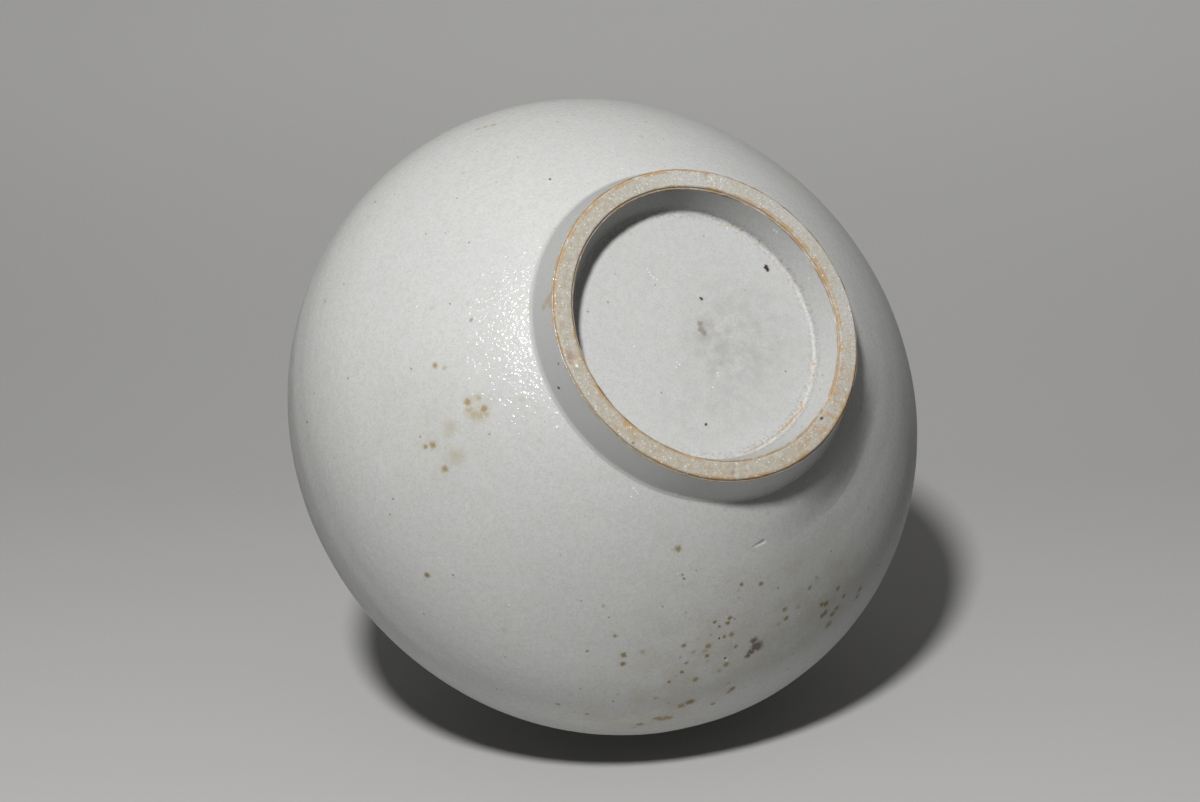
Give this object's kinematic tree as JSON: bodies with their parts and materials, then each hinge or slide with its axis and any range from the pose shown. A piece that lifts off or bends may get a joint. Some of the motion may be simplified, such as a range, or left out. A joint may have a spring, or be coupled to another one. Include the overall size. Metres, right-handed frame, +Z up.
{
  "type": "moon jar",
  "caption": "Round white porcelain storage jar of two bowls luted at the belly, with a short flared mouth collar and a glazed foot ring on a bare standing pad.",
  "frame": {"origin": "middle of the standing pad, at the level that the jar rests on", "axes": "+Z up along the jar's turning axis; X and Y are any two level directions"},
  "size_m": [0.3, 0.3, 0.2473],
  "materials": {
    "porcelain": "fired porcelain clay, bare and finely granular on the standing pad",
    "slip": "fired luting slip, hidden in the joints",
    "glaze": "bluish-white glossy glaze with a slight orange-peel surface and fine iron specks"
  },
  "bodies": {
    "root": {"lower_bowl": "porcelain", "upper_bowl": "porcelain", "belly_slip": "slip", "foot_ring": "porcelain", "foot_slip": "slip", "mouth_collar": "porcelain", "collar_slip": "slip", "outer_glaze": "glaze", "inner_glaze": "glaze", "foot_well_glaze": "glaze"}
  },
  "joints": []
}
